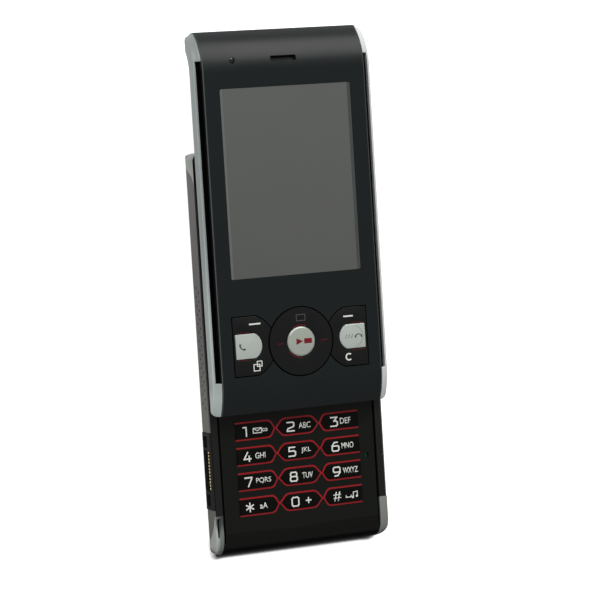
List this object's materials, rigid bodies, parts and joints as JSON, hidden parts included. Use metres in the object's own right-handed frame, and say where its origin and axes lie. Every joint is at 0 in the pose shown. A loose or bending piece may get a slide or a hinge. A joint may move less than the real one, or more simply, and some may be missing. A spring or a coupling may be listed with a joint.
{
  "type": "slider phone",
  "caption": "Slide-open mobile phone: a keypad base and a screen half that slides along it on sheet-steel runners, with pressable keys, a side socket and a back door.",
  "frame": {"origin": "centre of the lower half's flat back, on the back face", "axes": "+X to the phone's right as the user looks at the screen, +Y to the earpiece end, +Z out of the screen"},
  "size_m": [0.0471, 0.1293, 0.0139],
  "materials": {
    "shell_black": "satin",
    "plate_black": "satin",
    "side_grey": "satin",
    "silver_paint": "gloss",
    "chin_black": "gloss",
    "door_black": "matte",
    "battery_can": "satin",
    "board_green": "solder mask",
    "tin_plate": "satin",
    "connector_black": "matte",
    "contact_gold": "gloss",
    "speaker_black": "matte",
    "camera_black": "matte",
    "camera_glass": "gloss",
    "guide_red": "translucent",
    "spring_steel": "satin",
    "screw_steel": "satin",
    "side_key_grey": "satin",
    "key_black": "satin",
    "frame_black": "matte",
    "cover_charcoal": "satin",
    "inlay_black": "gloss",
    "window_grey": "gloss",
    "display_can": "satin",
    "keymat_rubber": "matte",
    "bar_grey": "matte",
    "ring_black": "satin",
    "rocker_black": "satin",
    "silver_key": "satin",
    "flex_amber": "satin"
  },
  "bodies": {
    "base": {"base_shell": "shell_black", "front_plate": "plate_black", "side_cover_left": "side_grey", "side_cover_right": "side_grey", "corner_top_left": "silver_paint", "corner_top_right": "silver_paint", "corner_bottom_left": "silver_paint", "corner_bottom_right": "silver_paint", "bottom_cap": "chin_black", "battery": "battery_can", "main_board": "board_green", "shield_can": "tin_plate", "sim_holder": "tin_plate", "connector_shell": "connector_black", "connector_contacts": "contact_gold", "speakers": "speaker_black", "camera_module": "camera_black", "camera_window": "camera_glass", "vibration_motor": "tin_plate", "antenna": "speaker_black", "dome_sheet": "tin_plate", "key_guide": "guide_red", "base_slide_plate": "spring_steel", "base_screws": "screw_steel", "slide_spring": "spring_steel", "flex_cable": "flex_amber"},
    "slider": {"slider_plate": "spring_steel", "slider_frame": "frame_black", "front_cover": "cover_charcoal", "rail_left": "silver_paint", "rail_right": "silver_paint", "rail_inlays": "inlay_black", "display_window": "window_grey", "display_module": "display_can", "slider_board": "board_green", "earpiece": "speaker_black", "nav_keymat": "keymat_rubber", "slider_screws": "screw_steel"},
    "battery_door": {"battery_door": "door_black"},
    "volume_rocker": {"volume_rocker": "side_key_grey"},
    "power_key": {"power_key": "side_key_grey"},
    "key_1": {"key_1": "key_black"},
    "key_2": {"key_2": "key_black"},
    "key_3": {"key_3": "key_black"},
    "key_4": {"key_4": "key_black"},
    "key_5": {"key_5": "key_black"},
    "key_6": {"key_6": "key_black"},
    "key_7": {"key_7": "key_black"},
    "key_8": {"key_8": "key_black"},
    "key_9": {"key_9": "key_black"},
    "key_star": {"key_star": "key_black"},
    "key_0": {"key_0": "key_black"},
    "key_hash": {"key_hash": "key_black"},
    "nav_bar": {"nav_bar": "bar_grey"},
    "nav_ring": {"nav_ring": "ring_black"},
    "centre_key": {"centre_key": "silver_key"},
    "call_key": {"call_key": "silver_key"},
    "end_key": {"end_key": "silver_key"},
    "rocker_left": {"rocker_left": "rocker_black"},
    "rocker_right": {"rocker_right": "rocker_black"}
  },
  "joints": [
    {"name": "slide", "type": "slide", "parent": "base", "child": "slider", "axis": [0, 1, 0], "range_m": [-0.033, 0], "deforming": ["slide_spring", "flex_cable"]},
    {"name": "battery_door_slide", "type": "slide", "parent": "base", "child": "battery_door", "axis": [0, -1, 0], "range_m": [0, 0.004]},
    {"name": "volume_rock", "type": "hinge", "parent": "base", "child": "volume_rocker", "pos_m": [0.0226, 0.017, 0.005], "axis": [0, 0, 1], "range_deg": [-1.2, 1.2], "stiffness_Nm_per_rad": 0.4},
    {"name": "power_press", "type": "slide", "parent": "base", "child": "power_key", "axis": [0, -1, 0], "range_m": [0, 0.00025], "stiffness_N_per_m": 6000},
    {"name": "key_1_press", "type": "slide", "parent": "base", "child": "key_1", "axis": [0, 0, -1], "range_m": [0, 0.00025], "stiffness_N_per_m": 6000},
    {"name": "key_2_press", "type": "slide", "parent": "base", "child": "key_2", "axis": [0, 0, -1], "range_m": [0, 0.00025], "stiffness_N_per_m": 6000},
    {"name": "key_3_press", "type": "slide", "parent": "base", "child": "key_3", "axis": [0, 0, -1], "range_m": [0, 0.00025], "stiffness_N_per_m": 6000},
    {"name": "key_4_press", "type": "slide", "parent": "base", "child": "key_4", "axis": [0, 0, -1], "range_m": [0, 0.00025], "stiffness_N_per_m": 6000},
    {"name": "key_5_press", "type": "slide", "parent": "base", "child": "key_5", "axis": [0, 0, -1], "range_m": [0, 0.00025], "stiffness_N_per_m": 6000},
    {"name": "key_6_press", "type": "slide", "parent": "base", "child": "key_6", "axis": [0, 0, -1], "range_m": [0, 0.00025], "stiffness_N_per_m": 6000},
    {"name": "key_7_press", "type": "slide", "parent": "base", "child": "key_7", "axis": [0, 0, -1], "range_m": [0, 0.00025], "stiffness_N_per_m": 6000},
    {"name": "key_8_press", "type": "slide", "parent": "base", "child": "key_8", "axis": [0, 0, -1], "range_m": [0, 0.00025], "stiffness_N_per_m": 6000},
    {"name": "key_9_press", "type": "slide", "parent": "base", "child": "key_9", "axis": [0, 0, -1], "range_m": [0, 0.00025], "stiffness_N_per_m": 6000},
    {"name": "key_star_press", "type": "slide", "parent": "base", "child": "key_star", "axis": [0, 0, -1], "range_m": [0, 0.00025], "stiffness_N_per_m": 6000},
    {"name": "key_0_press", "type": "slide", "parent": "base", "child": "key_0", "axis": [0, 0, -1], "range_m": [0, 0.00025], "stiffness_N_per_m": 6000},
    {"name": "key_hash_press", "type": "slide", "parent": "base", "child": "key_hash", "axis": [0, 0, -1], "range_m": [0, 0.00025], "stiffness_N_per_m": 6000},
    {"name": "nav_up_down", "type": "hinge", "parent": "slider", "child": "nav_bar", "pos_m": [0, 0.0023, 0.012], "axis": [1, 0, 0], "range_deg": [-1.2, 1.2], "stiffness_Nm_per_rad": 0.4},
    {"name": "nav_left_right", "type": "hinge", "parent": "nav_bar", "child": "nav_ring", "pos_m": [0, 0.0023, 0.012], "axis": [0, 1, 0], "range_deg": [-1.2, 1.2], "stiffness_Nm_per_rad": 0.4},
    {"name": "centre_press", "type": "slide", "parent": "slider", "child": "centre_key", "axis": [0, 0, -1], "range_m": [0, 0.00015], "stiffness_N_per_m": 8000},
    {"name": "call_press", "type": "slide", "parent": "slider", "child": "call_key", "axis": [0, 0, -1], "range_m": [0, 0.0002], "stiffness_N_per_m": 6000},
    {"name": "end_press", "type": "slide", "parent": "slider", "child": "end_key", "axis": [0, 0, -1], "range_m": [0, 0.0002], "stiffness_N_per_m": 6000},
    {"name": "soft_keys_left", "type": "hinge", "parent": "slider", "child": "rocker_left", "pos_m": [-0.013, 0.0023, 0.012], "axis": [1, 0, 0], "range_deg": [-1.5, 1.5], "stiffness_Nm_per_rad": 0.3},
    {"name": "soft_keys_right", "type": "hinge", "parent": "slider", "child": "rocker_right", "pos_m": [0.013, 0.0023, 0.012], "axis": [1, 0, 0], "range_deg": [-1.5, 1.5], "stiffness_Nm_per_rad": 0.3}
  ]
}
